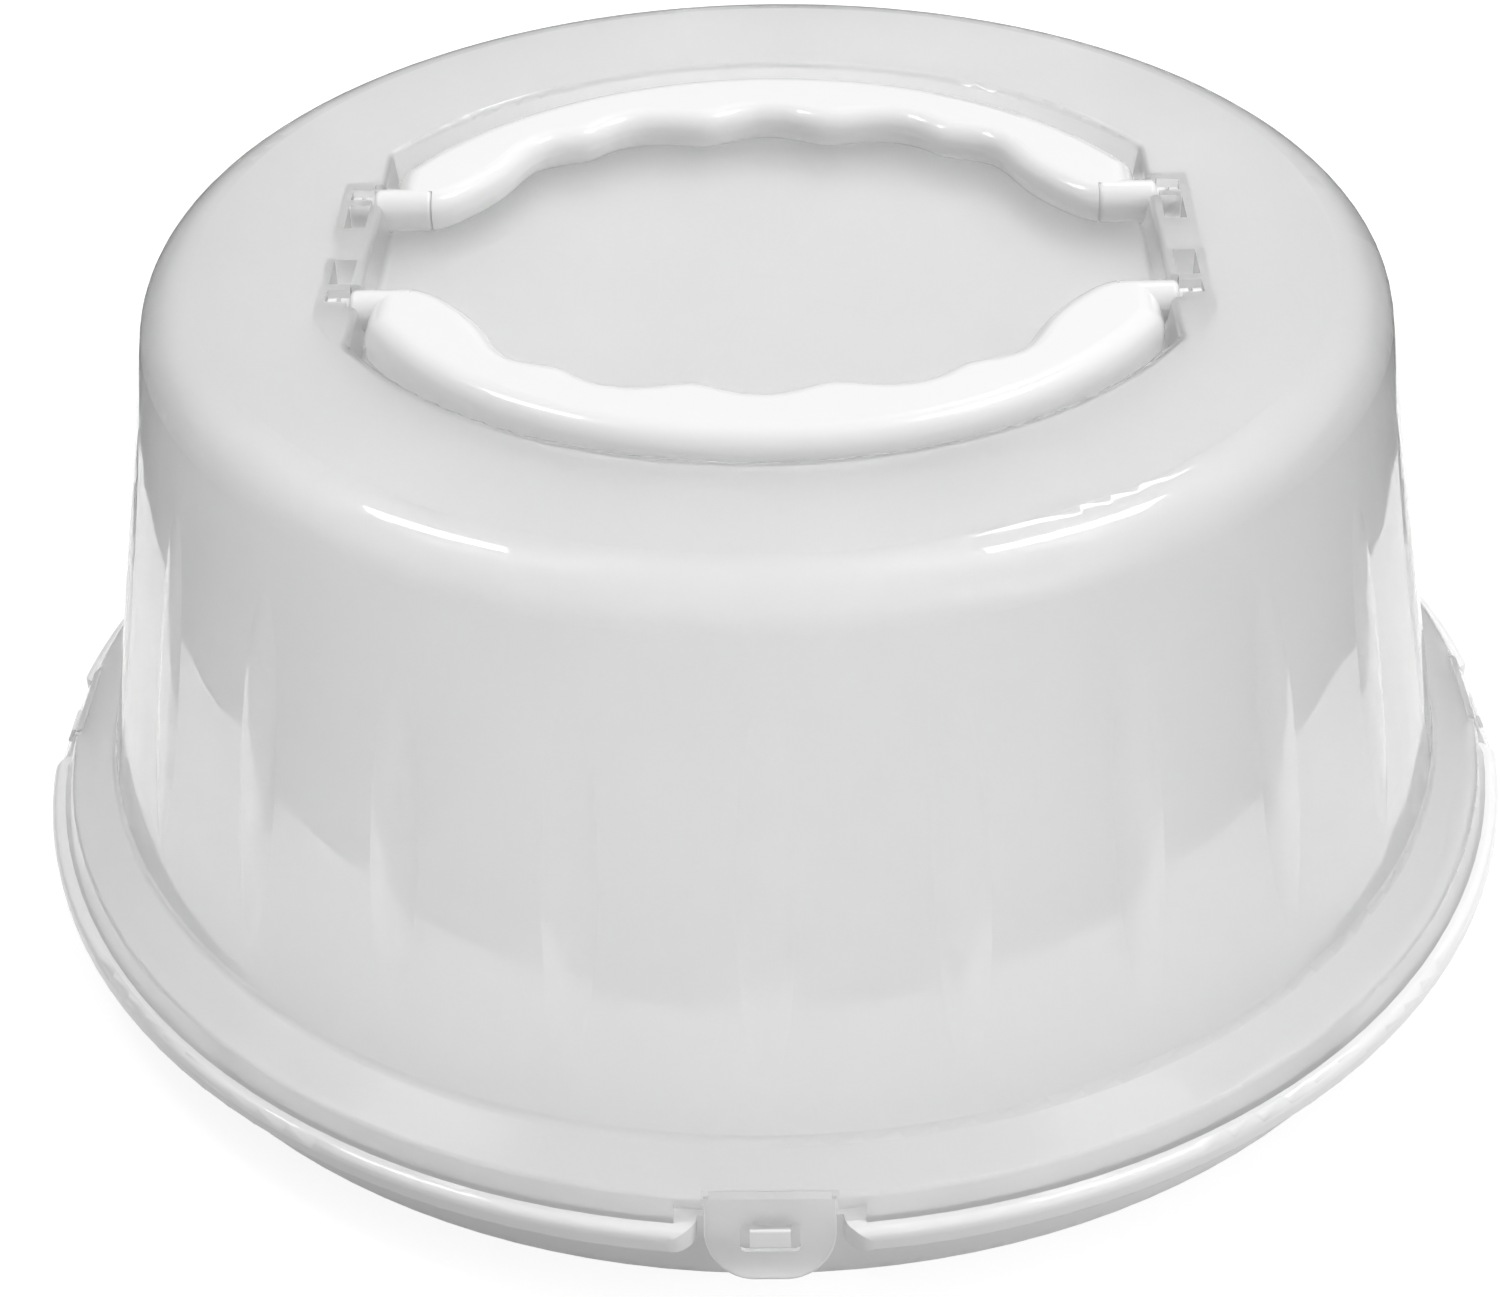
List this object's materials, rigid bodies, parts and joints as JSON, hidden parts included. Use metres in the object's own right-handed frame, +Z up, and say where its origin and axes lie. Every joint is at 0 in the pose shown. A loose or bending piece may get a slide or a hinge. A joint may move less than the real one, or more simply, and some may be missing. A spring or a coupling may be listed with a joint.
{
  "type": "cake carrier",
  "caption": "Round domed cake carrier: a rimmed base tray, a tall ribbed lift-off lid with hinged snap latches, and fold-flat carrying handles in a recess on top.",
  "frame": {"origin": "centre of the base tray's underside, on the surface that the carrier stands on", "axes": "+Z up through the middle of the dome, -Y the front, +X to the right of someone facing the front; the handles turn about axes along X"},
  "size_m": [0.3426, 0.3426, 0.1476],
  "materials": {
    "base_white": "glossy moulded polypropylene",
    "lid_milky": "milky, slightly see-through polypropylene with a soft gloss",
    "handle_white": "glossy moulded polypropylene"
  },
  "bodies": {
    "base": {"base_tray": "base_white"},
    "lid": {"dome_lid": "lid_milky"},
    "handle_front": {"handle_front": "handle_white"},
    "handle_back": {"handle_back": "handle_white"},
    "latch_front": {"latch_front": "lid_milky"},
    "latch_back": {"latch_back": "lid_milky"},
    "latch_left": {"latch_left": "lid_milky"},
    "latch_right": {"latch_right": "lid_milky"}
  },
  "joints": [
    {"name": "lid_lift", "type": "slide", "parent": "base", "child": "lid", "axis": [0, 0, 1], "range_m": [0, 0.2]},
    {"name": "handle_front_turn", "type": "hinge", "parent": "lid", "child": "handle_front", "pos_m": [0, -0.0231, 0.143], "axis": [-1, 0, 0], "range_deg": [0, 106]},
    {"name": "handle_back_turn", "type": "hinge", "parent": "lid", "child": "handle_back", "pos_m": [0, 0.0231, 0.143], "axis": [1, 0, 0], "range_deg": [0, 106]},
    {"name": "latch_front_flex", "type": "hinge", "parent": "lid", "child": "latch_front", "pos_m": [0, -0.16298, 0.0258], "axis": [-1, 0, 0], "range_deg": [0, 120]},
    {"name": "latch_back_flex", "type": "hinge", "parent": "lid", "child": "latch_back", "pos_m": [0, 0.16298, 0.0258], "axis": [1, 0, 0], "range_deg": [0, 120]},
    {"name": "latch_left_flex", "type": "hinge", "parent": "lid", "child": "latch_left", "pos_m": [-0.16298, 0, 0.0258], "axis": [0, 1, 0], "range_deg": [0, 120]},
    {"name": "latch_right_flex", "type": "hinge", "parent": "lid", "child": "latch_right", "pos_m": [0.16298, 0, 0.0258], "axis": [0, -1, 0], "range_deg": [0, 120]}
  ]
}
